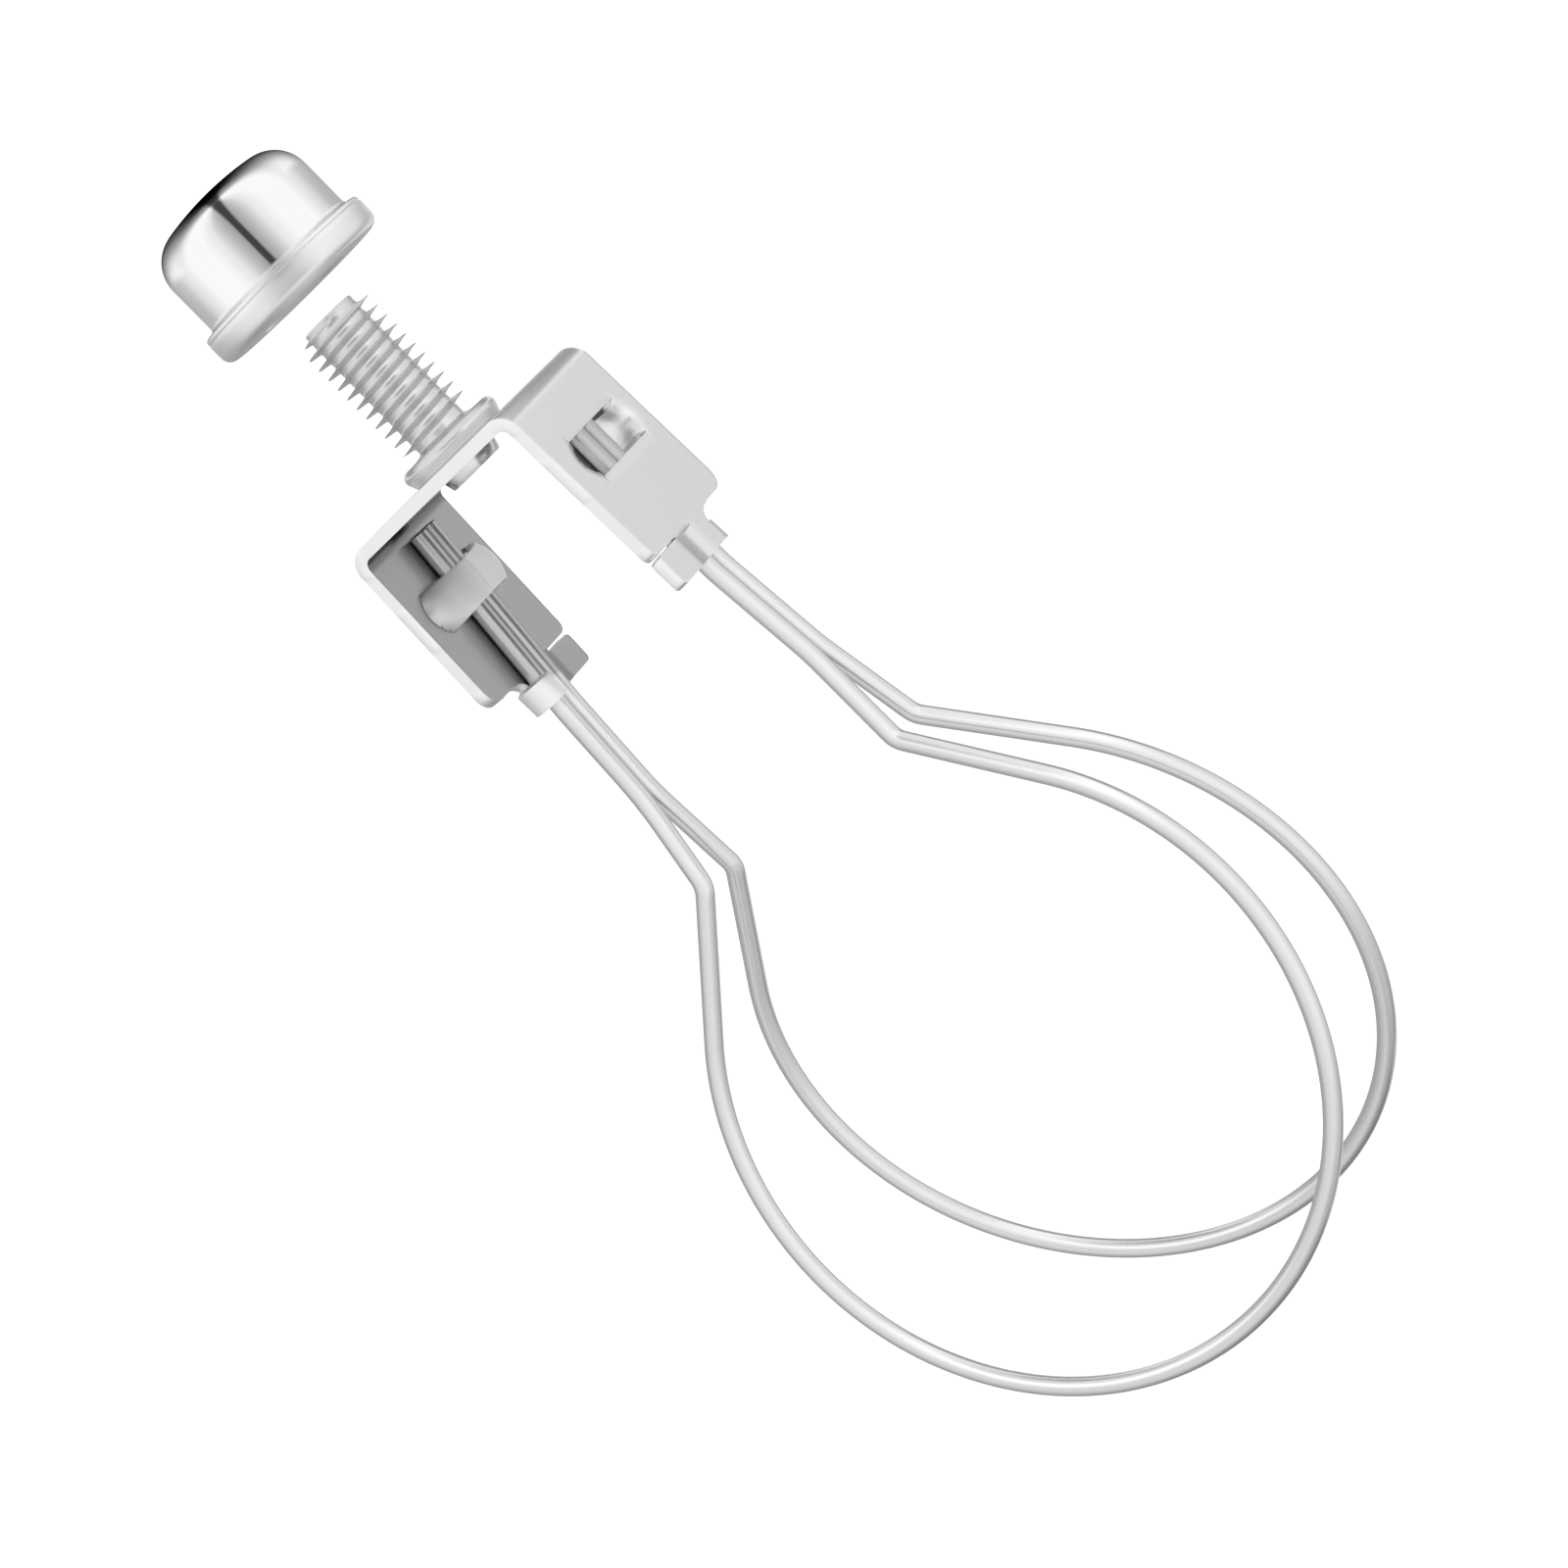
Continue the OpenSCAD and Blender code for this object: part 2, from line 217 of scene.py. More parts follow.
def tube(name, path, r, sides=32):
    """Round wire along a path, ends slightly chamfered, UV = (length, angle)."""
    p = resample(path, 0.6)
    t = np.gradient(p, axis=0)
    t /= np.linalg.norm(t, axis=1)[:, None]
    e = unit(np.cross(t[0], [0.3, 1, 0.1]))
    rings, lengths, run = [], [], 0.0
    cut = WIRE_CHAMFER
    stations = [(p[0], t[0], r - cut), (p[0] + t[0] * cut, t[0], r)]
    stations += [(p[i], t[i], r) for i in range(1, len(p) - 1)]
    stations += [(p[-1] - t[-1] * cut, t[-1], r), (p[-1], t[-1], r - cut)]
    last = stations[0][0]
    for c, d, rad in stations:
        e = unit(e - d * (e @ d))
        f = np.cross(d, e)
        run += np.linalg.norm(c - last)
        last = c
        lengths.append(run)
        rings.append(
            [
                (c + rad * (math.cos(a) * e + math.sin(a) * f)) * MM
                for a in (2 * math.pi * k / sides for k in range(sides))
            ]
        )
    verts = [v for q in rings for v in q]
    n = len(rings)
    faces = []
    for i in range(n - 1):
        for k in range(sides):
            a, b = i * sides + k, i * sides + (k + 1) % sides
            faces.append((a, b, b + sides, a + sides))
    faces += [tuple(range(sides - 1, -1, -1)), tuple(range((n - 1) * sides, n * sides))]
    ob = finish_mesh(name, verts, faces)
    uv = ob.data.uv_layers.new(name="along")
    for poly in ob.data.polygons:
        ks = [ob.data.loops[li].vertex_index % sides for li in poly.loop_indices]
        wrap = max(ks) - min(ks) > sides / 2
        for li, k in zip(poly.loop_indices, ks):
            i = ob.data.loops[li].vertex_index // sides
            kk = k + sides if wrap and k < sides / 2 else k
            uv.data[li].uv = (lengths[i] * 0.1, kk / sides)
    return ob


# ------------------------------------------------------------------ lathe work
def turn(profile, steps, verts, faces, inward=False):
    """Add the surface of a (radius, height) profile turned about Z to verts and faces."""
    index = []
    for r, z in profile:
        if r < 1e-6:
            index.append([len(verts)] * steps)
            verts.append((0, 0, z))
        else:
            index.append(list(range(len(verts), len(verts) + steps)))
            for k in range(steps):
                a = 2 * math.pi * k / steps
                verts.append((r * math.cos(a), r * math.sin(a), z))
    for lower, upper in zip(index[:-1], index[1:]):
        for k in range(steps):
            q = [lower[k], lower[(k + 1) % steps], upper[(k + 1) % steps], upper[k]]
            q = [v for m, v in enumerate(q) if v not in q[:m]]
            if len(q) > 2:
                faces.append(tuple(q[::-1] if inward else q))


def lathe(name, profile, steps=160, smooth_deg=32):
    """Turned part from (radius, height) pairs in millimetres."""
    verts, faces = [], []
    turn(profile, steps, verts, faces)
    return finish_mesh(name, [(x * MM, y * MM, z * MM) for x, y, z in verts], faces, smooth_deg)


def arc(cx, cz, r, a0, a1, steps):
    out = []
    for i in range(steps + 1):
        a = math.radians(a0 + (a1 - a0) * i / steps)
        out.append((cx + r * math.cos(a), cz + r * math.sin(a)))
    return out


def finial_profile():
    """Domed cap with a flange, its flat foot and its threaded bore."""
    z = CAP_Z
    top = z + CAP_H
    cx = CAP_R - CROWN_R
    cz = top - DOME_R + math.sqrt((DOME_R - CROWN_R) ** 2 - cx**2)
    slope = math.degrees(math.asin(cx / (DOME_R - CROWN_R)))
    out = []
    for i in range(13):
        a = math.radians(slope * i / 12)
        out.append((DOME_R * math.sin(a), top - DOME_R + DOME_R * math.cos(a)))
    out += arc(cx, cz, CROWN_R, 90 - slope, 0, 26)[1:]
    # hollow fillet into the flange, a fine turned line, then the rim
    foot = z + FLANGE_H
    out += [(CAP_R, foot + 0.42)]
    for a in np.linspace(0.2, 1.45, 7):
        out.append((CAP_R + 0.3 * (1 - math.cos(a)), foot + 0.36 * (1 - math.sin(a))))
    out += arc(FLANGE_R - 0.3, foot - 0.32, 0.28, 84, 6, 7)
    for inset, drop in ((0.02, 0.4), (0.07, 0.46), (0.07, 0.5), (0.015, 0.56), (0.005, 0.6)):
        out.append((FLANGE_R - inset, foot - drop))
    out += [(FLANGE_R, z + 1.5), (FLANGE_R - 0.01, z + 1.0)]
    out += arc(FLANGE_R - 0.82, z + 0.84, 0.8, -6, -84, 14)
    out += [(5.6, z), (BORE_R + 0.5, z), (BORE_R + 0.06, z + 0.42)]
    # internal thread, drawn as ridges that stay clear of the stud
    root = BORE_R + 0.32
    k = z + 0.7
    while k < z + CAP_H - 2.2:
        out += [(root, k), (BORE_R, k + PITCH / 2), (root, k + PITCH)]
        k += PITCH
    end = z + CAP_H
    out += [(BORE_R + 0.1, end - 1.25), (BORE_R - 0.5, end - 1.02), (0, end - 0.98)]
    return out


def stud_mesh():
    """Thread as a true single-start helix, and the turned foot, as one mesh."""
    steps = 96
    z0, z1 = SEAT_FILLET, STUD_H - 0.08
    # (place in one pitch, share of the thread depth)
    half = [(-0.3, 0.0), (-0.22, 0.03), (-0.13, 0.35), (-0.035, 0.96)]
    crest = [(-0.5, 0.0)] + half + [(0.0, 1.0)] + [(-o, h) for o, h in reversed(half)]
    rows = [(n + off, h) for n in range(-1, 14) for off, h in crest]
    verts, faces = [], []
    for t, h in rows:
        for k in range(steps + 1):
            a = 2 * math.pi * k / steps
            z = (t + k / steps) * PITCH + z0
            # the thread runs out at both ends
            lo = min(max((z - 0.55) / 0.35, 0), 1)
            hi = min(max((z1 - 0.32 - z) / 0.3, 0), 1)
            r = ROOT_R + (THREAD_R - ROOT_R) * h * lo * hi
            z = min(max(z, z0), z1)
            if z >= z1:
                r = ROOT_R - 0.03
            verts.append((r * math.cos(a), r * math.sin(a), z))
    w = steps + 1
    for i in range(len(rows) - 1):
        for k in range(steps):
            q = (i * w + k, i * w + k + 1, (i + 1) * w + k + 1, (i + 1) * w + k)
            zz = [verts[v][2] for v in q]
            if max(zz) - min(zz) >= 1e-7:
                faces.append(q)
    under = PLATE_Z - SHEET
    foot = []
    for a in np.linspace(0, math.pi / 2, 9):
        foot.append((SEAT_R - (SEAT_R - ROOT_R) * math.cos(a), SEAT_FILLET * (1 - math.sin(a))))
    foot += arc(COLLAR_R - COLLAR_ROUND, -COLLAR_ROUND, COLLAR_ROUND, 90, -28, 14)
    foot += [(COLLAR_R - 0.3, PLATE_Z + 0.03), (COLLAR_R - 0.5, PLATE_Z)]
    # through the plate, then the riveted tail with a slight dish
    foot += [(STUD_HOLE_R, PLATE_Z), (STUD_HOLE_R, under)]
    for r, drop in ((2.44, 0.03), (2.44, 0.08), (2.27, 0.78), (2.2, 0.86)):
        foot.append((r, under - drop))
    for r, drop in ((1.7, 0.86), (1.45, 0.8), (0.9, 0.74), (0, 0.72)):
        foot.append((r, under - drop))
    turn(foot, steps, verts, faces, inward=True)
    top = [(ROOT_R - 0.03, z1), (ROOT_R - 0.13, STUD_H - 0.01), (ROOT_R - 0.2, STUD_H), (0, STUD_H)]
    turn(top, steps, verts, faces)
    ob = finish_mesh("stud_turned", [(x * MM, y * MM, z * MM) for x, y, z in verts], faces, None)
    weld(ob, 1e-7)
    ob.data.set_sharp_from_angle(angle=math.radians(38))
    return ob


def weld(ob, dist=None):
    """Turn all faces outwards, and with a distance join what lies closer than that."""
    bm = bmesh.new()
    bm.from_mesh(ob.data)
    if dist:
        bmesh.ops.remove_doubles(bm, verts=bm.verts, dist=dist)
        bmesh.ops.dissolve_degenerate(bm, edges=bm.edges, dist=dist)
    bmesh.ops.recalc_face_normals(bm, faces=bm.faces)
    bm.to_mesh(ob.data)
    bm.free()
    ob.data.shade_smooth()


# ------------------------------------------------------------------ saddle
def smooth5(t):
    t = min(max(t, 0.0), 1.0)
    return t * t * t * (t * (6 * t - 15) + 10)


def bow(power):
    """Rise of the pressed bridge from its root (0) to its middle (1), with a soft root."""
    q = np.linspace(-0.4, 1.4, 361)
    f = np.clip(1 - np.clip(q, 0, 1), 0, 1)
    arch = np.where(q > 0, (1 - f**power) ** (1 / power), 0.0)
    k = np.exp(-0.5 * (np.arange(-40, 41) * 0.005 / 0.075) ** 2)
    return q[40:-40], np.convolve(arch, k / k.sum(), "same")[40:-40]


BOWS = {side: [bow(p) for p in BRIDGE_BOW[side]] for side in (1, -1)}


def press(y, s, side):
    """Depth to which the bridge is pressed in at a point of the leg."""
    lo, hi = BRIDGE_ENDS[side]
    t = (s + BRIDGE_DROP[side]) / (BRIDGE_H[side] / 2)
    if abs(t) > 1:
        return 0.0
    bulge = BRIDGE_BULGE * (1 - t * t)
    half = (hi - lo) / 2 + bulge
    q = (y - lo + bulge) / half
    i = 0
    if q > 1:
        q, i = 2 - q, 1
    # the root starts exactly at the end of the cut
    if q <= 0:
        return 0.0
    rise = float(np.interp(q - 0.05, *BOWS[side][i])) * smooth5(q / 0.16)
    return BRIDGE_DEPTH * (1 - 0.04 * t * t) * rise


def valley(y, s):
    """Shallow press mark beside the flat ear, only below the leg."""
    fall = min(max((y + 3.1) / 1.8, 0), 1)
    return 0.34 * fall * (1 - smooth5((y + 1.3) / 1.4)) * smooth5((-LEG_H + 0.12 - s) / 0.3)


def across(y, s):
    """Pull a column of the leg in at its rounded lower corners."""
    keep = 3.6
    if abs(y) <= keep:
        return y
    hw = STRIP / 2
    rc = CORNER_R[0] if y < 0 else CORNER_R[1]
    d = s - (-LEG_H + rc)
    reach = hw if d >= 0 else hw - rc + math.sqrt(max(rc**2 - d * d, 0))
    return math.copysign(keep + (abs(y) - keep) * (reach - keep) / (hw - keep), y)


class Sheet:
    """Shared points and faces of the strip's middle surface."""

    def __init__(self):
        self.verts, self.faces, self.gauge, self.key = [], [], [], {}

    def vert(self, p, gauge=1.0):
        k = tuple(round(float(c), 5) for c in p)
        if k not in self.key:
            self.key[k] = len(self.verts)
            self.verts.append(tuple(float(c) * MM for c in p))
            self.gauge.append(gauge)
        return self.key[k]

    def strip(self, grid):
        for a, b in zip(grid[:-1], grid[1:]):
            for k in range(len(a) - 1):
                q = []
                for v in (a[k], a[k + 1], b[k + 1], b[k]):
                    if v not in q:
                        q.append(v)
                if len(q) > 2:
                    self.faces.append(tuple(q))


def saddle_tab(sheet, cols, mid, side):
    """Neck, flat ear, middle and curled ear at the foot of one leg."""
    slot = SLOT[side]
    ear_s, end_s = -LEG_H - slot, -LEG_H - TAB_H
    span = ear_s - end_s
    mids = [c for c in cols if -NECK_LEFT - 1e-6 <= c <= NECK_RIGHT + 1e-6]
    width = mids[-1] + NECK_LEFT
    curl_top = END_Y[side] + PAIR / 2
    slant = math.tan(math.atan2(END_Y[side] - TOP_Y[side], TOP_S - END_S))

    def on_leg(y, s, gauge=1.0):
        return sheet.vert(leg_pt(mid - valley(y, s), y, s, side), gauge)

    def ear_top(c):
        return ear_s - FILLET_H * smooth5((c + NECK_LEFT) / (NECK_RIGHT + NECK_LEFT))

    def place_on(c, left, right):
        return left + (c + NECK_LEFT) * (right - left) / width

    # the slot ends round on the left; a concave fillet leads to the curl on the right
    prev = [
        sheet.vert(leg_pt(mid - valley(c, -LEG_H), across(c, -LEG_H), -LEG_H, side)) for c in mids
    ]
    for j in range(1, 9):
        t = j / 8
        left = -NECK_LEFT + 0.5 * slot * math.sqrt(max(1 - (2 * t - 1) ** 2, 0))
        fillet = 1 - math.sqrt(max(1 - (1 - t) ** 2, 0))
        right = curl_top + (mids[-1] - curl_top) * fillet
        row = [on_leg(place_on(c, left, right), -LEG_H + (ear_top(c) + LEG_H) * t) for c in mids]
        sheet.strip([prev, row])
        prev = row
    last = None
    n_turn = 20
    for f in (0, 0.035, 0.09, 0.17, 0.3, 0.43, 0.57, 0.7, 0.83, 0.91, 0.965, 1):
        s = ear_s - span * f
        dist = min(ear_s - s, s - end_s)
        rc = EAR_CORNER
        corner = rc - math.sqrt(max(rc * rc - (rc - dist) ** 2, 0)) if dist < rc else 0
        row = [on_leg(c, s) for c in np.linspace(-EAR + corner, -NECK_LEFT, 12)[:-1]]
        for c in mids:
            ss = ear_top(c) + (end_s - ear_top(c)) * f
            curl_y = curl_top - (0 if f == 0 else (END_S - ss) * slant)
            row.append(on_leg(place_on(c, -NECK_LEFT, curl_y), ss))
        for i in range(1, n_turn + 1):
            a = CURL_TURN * i / n_turn
            r = CURL_R - CURL_CLOSE * i / n_turn
            p = leg_pt(WIRE_N + r * math.cos(a), curl_y + r * math.sin(a), ss, side)
            row.append(sheet.vert(p, 1 - 0.15 * min(1, i / 6)))
        if last:
            sheet.strip([last, row])
        last = row


def saddle_mesh():
    """Middle surface of the folded strip, drawn flat and bent, thickened by a modifier."""
    hw = STRIP / 2
    mid = BEND_R - SHEET / 2
    half_cols = {round(0.15 * i, 3) for i in range(42)} | {NECK_LEFT, 3.7, 4.1, 6.25, hw}
    cols = sorted(half_cols | {-c for c in half_cols})
    sheet = Sheet()

    # plate and bends, right leg side to left leg side
    def bend_row(a, side):
        x = side * (BEND_X + mid * math.cos(a))
        return [(x, y, PLATE_Z - BEND_R + mid * math.sin(a)) for y in cols]

    bend = [SPLAY + (math.pi / 2 - SPLAY) * i / 12 for i in range(13)]
    rows = [bend_row(a, 1) for a in bend]
    for x in np.linspace(BEND_X, -BEND_X, 19)[1:-1]:
        rows.append([(x, y, PLATE_Z - SHEET / 2) for y in cols])
    rows += [bend_row(a, -1) for a in bend[::-1]]
    sheet.strip([[sheet.vert(p) for p in row] for row in rows])

    for side in (1, -1):
        w0, w1 = BRIDGE_ENDS[side]
        hi = -BRIDGE_DROP[side] + BRIDGE_H[side] / 2
        lo = hi - BRIDGE_H[side]

        def leg_row(s):
            return [
                sheet.vert(leg_pt(mid - valley(y, s), across(y, s), s, side)) for y in cols
            ]

        sheet.strip([leg_row(s) for s in np.linspace(0, hi, 6)])
        rc = CORNER_R[1]
        c0 = -LEG_H + rc
        low = list(np.linspace(lo, c0, 9))
        low += [c0 - rc * math.sin(math.radians(a)) for a in (18, 34, 48, 60, 73, 90)]
        sheet.strip([leg_row(s) for s in low])
        # the pressed part of the leg; its long edges are sheared between the two ends
        n_mid = 16
        grid = []
        for j in range(n_mid + 1):
            s = hi + (lo - hi) * j / n_mid
            row = []
            for y in cols:
                cut_here = j in (0, n_mid) and w0 + 1e-6 < y < w1 - 1e-6
                ss = s + (-CUT_GAP if j == 0 else CUT_GAP) if cut_here else s
                d = press(y, ss, side)
                row.append(sheet.vert(leg_pt(mid - d, y, ss, side), 1 - 0.25 * min(1, d / 2.4)))
            grid.append(row)
        sheet.strip(grid)
        saddle_tab(sheet, cols, mid, side)
    ob = finish_mesh("saddle_folded", sheet.verts, sheet.faces, None)
    weld(ob)
    # the pressed share marks the pressed bridge and the curls, where the materials paint a brighter
    # colour as a highlight
    wear_and_highlight_mask = ob.data.attributes.new("pressed", "FLOAT", "POINT")
    for i, t in enumerate(sheet.gauge):
        wear_and_highlight_mask.data[i].value = min(1.0, (1 - t) * 6)
    # the group comes after the attribute is filled, because it moves the mesh's data
    group = ob.vertex_groups.new(name="gauge")
    for i, t in enumerate(sheet.gauge):
        group.add([i], t, "REPLACE")
    gauge = ob.modifiers.new("gauge", "SOLIDIFY")
    gauge.thickness = SHEET * MM
    gauge.offset = 0.0
    gauge.use_even_offset = True
    gauge.vertex_group = "gauge"
    gauge.thickness_vertex_group = 0.0
    # the inner side takes the second material, a darker copy painted as shade, and the rims the
    # third, a lighter copy painted as a highlight
    gauge.material_offset = 1
    gauge.material_offset_rim = 2
    edges = ob.modifiers.new("edges", "BEVEL")
    edges.width = 0.06 * MM
    edges.segments = 2
    edges.limit_method = "ANGLE"
    edges.angle_limit = math.radians(60)
    normals = ob.modifiers.new("normals", "WEIGHTED_NORMAL")
    normals.keep_sharp = True
    normals.weight = 80
    return ob


# ------------------------------------------------------------------ nodes
def open_tree(owner):
    """Empty the nodes of a material or world; the helpers add to the one opened last."""
    global nt
    owner.use_nodes = True
    nt = owner.node_tree
    nt.nodes.clear()


def link(a, b):
    nt.links.new(a, b)


def node(kind, **props):
    n = nt.nodes.new(kind)
    for k, v in props.items():
        setattr(n, k, v)
    return n


def feed(socket, value):
    """Set a socket to a number or colour, or link an output to it."""
    if isinstance(value, (int, float)):
        socket.default_value = value
    elif isinstance(value, tuple):
        socket.default_value = (*value, 1)
    else:
        link(value, socket)


def maths(op, *args):
    n = node("ShaderNodeMath", operation=op)
    for socket, value in zip(n.inputs, args):
        feed(socket, value)
    return n.outputs[0]


def ramp(v, lo, hi, top=1.0, **props):
    """0 at lo, top at hi."""
    n = node("ShaderNodeMapRange", **props)
    link(v, n.inputs["Value"])
    n.inputs["From Min"].default_value = lo
    n.inputs["From Max"].default_value = hi
    n.inputs["To Max"].default_value = top
    return n.outputs[0]


def between(v, lo, hi):
    return ramp(v, lo, hi, interpolation_type="SMOOTHSTEP")


def blend(f, a, b):
    """Number a where f is 0, b where f is 1."""
    n = node("ShaderNodeMix", data_type="FLOAT")
    link(f, n.inputs[0])
    feed(n.inputs[2], a)
    feed(n.inputs[3], b)
    return n.outputs[0]


def tint(f, a, b):
    """Colour a where f is 0, b where f is 1."""
    n = node("ShaderNodeMix", data_type="RGBA")
    link(f, n.inputs["Factor"])
    feed(n.inputs["A"], a)
    feed(n.inputs["B"], b)
    return n.outputs["Result"]


def dotted(v, axis):
    n = node("ShaderNodeVectorMath", operation="DOT_PRODUCT")
    link(v, n.inputs[0])
    n.inputs[1].default_value = tuple(axis)
    return n.outputs["Value"]


def axes_of(v):
    n = node("ShaderNodeSeparateXYZ")
    link(v, n.inputs[0])
    return n.outputs


def noise(v, scale, detail, rough=0.5):
    n = node("ShaderNodeTexNoise")
    n.inputs["Scale"].default_value = scale
    n.inputs["Detail"].default_value = detail
    n.inputs["Roughness"].default_value = rough
    link(v, n.inputs["Vector"])
    return n.outputs["Fac"]


# ------------------------------------------------------------------ materials
CLOUD_SCALE = 260
PIT_SCALE = 2600
PIT_SIZE = 0.16
PIT_RELIEF = 0.01
RELIEF = 0.00002  # metres
WEAR = 0.05  # how much lighter a worn edge is
SATIN_EDGE = 0.00008  # metres, over which the satin foot starts
SHADE_EDGE = 0.0002
RUB = 0.26  # added roughness of the pressed parts
# brighter colour of the pressed parts, a painted highlight
PRESSED_HIGHLIGHT = (0.93, 0.93, 0.935)
STRIP_GRAIN = (5200, 420, 700)
mats = {}


def metal(
    name, base, rough, grain, relief, spots, grain_uv=False, satin=None, shade=None, pressed=None
):
    """Plated metal.

    grain is the scale of the grain along X, Y and Z, or along the wire and round it with
    grain_uv. satin is (height, added roughness) of a satin foot. shade is (height, share of
    the light kept) of a painted shade that darkens the colour above the height. pressed is
    the brighter colour painted on the pressed parts, a painted highlight.
    """
    m = mats[name] = bpy.data.materials.new(name)
    open_tree(m)

    def scaled(share):
        return tuple(min(1, c * share) for c in base)

    bsdf = node("ShaderNodeBsdfPrincipled")
    link(bsdf.outputs[0], node("ShaderNodeOutputMaterial").inputs[0])
    bsdf.inputs["Metallic"].default_value = 1.0
    bsdf.inputs["Base Color"].default_value = (*base, 1)
    bsdf.inputs["Roughness"].default_value = rough
    coords = node("ShaderNodeTexCoord")
    spot = coords.outputs["Object"]
    # grain along the piece, cloudy plating and fine pits
    mapping = node("ShaderNodeMapping")
    mapping.inputs["Scale"].default_value = grain
    link(coords.outputs["UV"] if grain_uv else spot, mapping.inputs["Vector"])
    lines = noise(mapping.outputs[0], 1.0, 5, 0.6)
    clouds = noise(spot, CLOUD_SCALE, 4)
    cells = node("ShaderNodeTexVoronoi")
    cells.inputs["Scale"].default_value = PIT_SCALE
    link(spot, cells.inputs["Vector"])
    pits = ramp(cells.outputs["Distance"], 0.0, PIT_SIZE)
    # roughness
    dull = maths("MULTIPLY_ADD", lines, rough * 0.2, rough * 0.9)
    dull = maths("MULTIPLY_ADD", clouds, rough * 0.2, dull)
    dull = maths("SUBTRACT", dull, rough * 0.1)
    if satin:
        height, added = satin
        foot = ramp(axes_of(spot)["Z"], height + SATIN_EDGE, height - SATIN_EDGE, added)
        dull = maths("ADD", dull, foot)
    # colour: slight clouding, worn edges and darker pits
    wear_and_highlight_mask = ramp(node("ShaderNodeNewGeometry").outputs["Pointiness"], 0.53, 0.62)
    colour = tint(clouds, scaled(1 - spots), scaled(1 + spots))
    colour = tint(wear_and_highlight_mask, colour, scaled(1 + WEAR))
    colour = tint(pits, scaled(1 - spots), colour)
    if shade:
        # painted shade: above the height the colour is darkened as if in shadow, for the hollow of
        # the top bends and for the wires inside the strip
        height, kept = shade
        high = ramp(axes_of(spot)["Z"], height - SHADE_EDGE, height + SHADE_EDGE, 1 - kept)
        colour = tint(high, colour, (0.02, 0.02, 0.02))
    if pressed:
        # painted highlight: the pressed parts get a brighter colour, which also lifts them out of
        # the painted shade of the inside colour; they are rougher too
        pressed_highlight = node("ShaderNodeAttribute", attribute_name="pressed").outputs["Fac"]
        colour = tint(pressed_highlight, colour, pressed)
        dull = maths("MULTIPLY_ADD", pressed_highlight, RUB, dull)
    link(dull, bsdf.inputs["Roughness"])
    link(colour, bsdf.inputs["Base Color"])
    # relief
    bump = node("ShaderNodeBump")
    bump.inputs["Strength"].default_value = relief
    bump.inputs["Distance"].default_value = RELIEF
    link(maths("MULTIPLY_ADD", pits, PIT_RELIEF, lines), bump.inputs["Height"])
    link(bump.outputs[0], bsdf.inputs["Normal"])


satin_foot = ((CAP_Z + 2.8) * MM, 0.34)
metal("finial_nickel", (0.86, 0.86, 0.87), 0.04, (900, 900, 5200), 0.003, 0.01, satin=satin_foot)
metal("stud_nickel", (0.8, 0.8, 0.81), 0.26, (120, 120, 9000), 0.01, 0.01)
metal("saddle_steel", (0.84, 0.84, 0.85), 0.28, STRIP_GRAIN, 0.02, 0.015, pressed=PRESSED_HIGHLIGHT)
# painted shade: the inner side of the strip is a darker copy of the saddle steel, darker still in
# the hollow of the top bends
metal(
    "saddle_inside_painted_shade", (0.46, 0.46, 0.465), 0.3, STRIP_GRAIN, 0.02, 0.015,
    shade=(-0.00335, 0.5), pressed=PRESSED_HIGHLIGHT,
)
# painted highlight: the cut edges of the strip are a lighter copy of the steel
metal("saddle_rim_painted_highlight", (0.97, 0.97, 0.97), 0.34, (900, 900, 5200), 0.04, 0.02)
# painted shade: the wires are darker above the height, where they lie inside the strip
metal(
    "wire_steel", (0.8, 0.8, 0.81), 0.27, (8, 190, 1), 0.012, 0.012,
    grain_uv=True, shade=(-0.0178, 0.68),
)


def place(ob, slot, body, *nodes):
    ob.data.materials.append(mats[slot])
    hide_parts(*nodes)
    if body:
        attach(ob, body)
    return ob


place(lathe("finial_cap", finial_profile()), "finial_nickel", "cap", "finial")
place(stud_mesh(), "stud_nickel", "clip", "stud")
folded = place(saddle_mesh(), "saddle_steel", "clip", "saddle")
for extra in ("saddle_inside_painted_shade", "saddle_rim_painted_highlight"):
    folded.data.materials.append(mats[extra])
for side, word in ((-1, "front"), (1, "back")):
    w = tube(f"{word}_wire_full", wire_path(side), WIRE_R)
    place(w, "wire_steel", None, f"{word}_loop", f"{word}_tail_right", f"{word}_tail_left")
    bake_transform(w)

# ------------------------------------------------------------------ stage
AZ = math.radians(34.06)  # of the camera
TO_CAMERA = np.array([math.sin(AZ), -math.cos(AZ), 0.0])
TO_RIGHT = np.array([math.cos(AZ), math.sin(AZ), 0.0])
LIGHT = 1.25
FLOOR_HALF, FLOOR_Z = 3000.0, -100.0
FLOOR_WHITE = 0.92
TENT_R, TENT_LOW, TENT_Z = 70.0, 3.2, 16.5
TENT_ROWS, TENT_STEPS = 24, 96
CEILING_R, CEILING_Z = 69.0, 12.7
CARD_R, CARD_HALF = 45.0, 36.0  # half width in degrees
CARD_LOW, CARD_HIGH = -0.6, 12.6
CARD_GREY = 0.3


def stage_mesh(name, verts, faces, material):
    """Mesh object from points in millimetres."""
    me = bpy.data.meshes.new(name)
    me.from_pydata([(x * MM, y * MM, z * MM) for x, y, z in verts], [], faces)
    me.materials.append(material)
    ob = bpy.data.objects.new(name, me)
    scene.collection.objects.link(ob)
    return ob


def glossy_only(ob):
    """Let the piece be seen only in reflections."""
    ob.visible_camera = ob.visible_diffuse = False
    ob.visible_shadow = ob.visible_transmission = False


def new_material(name):
    m = bpy.data.materials.new(name)
    open_tree(m)
    return m


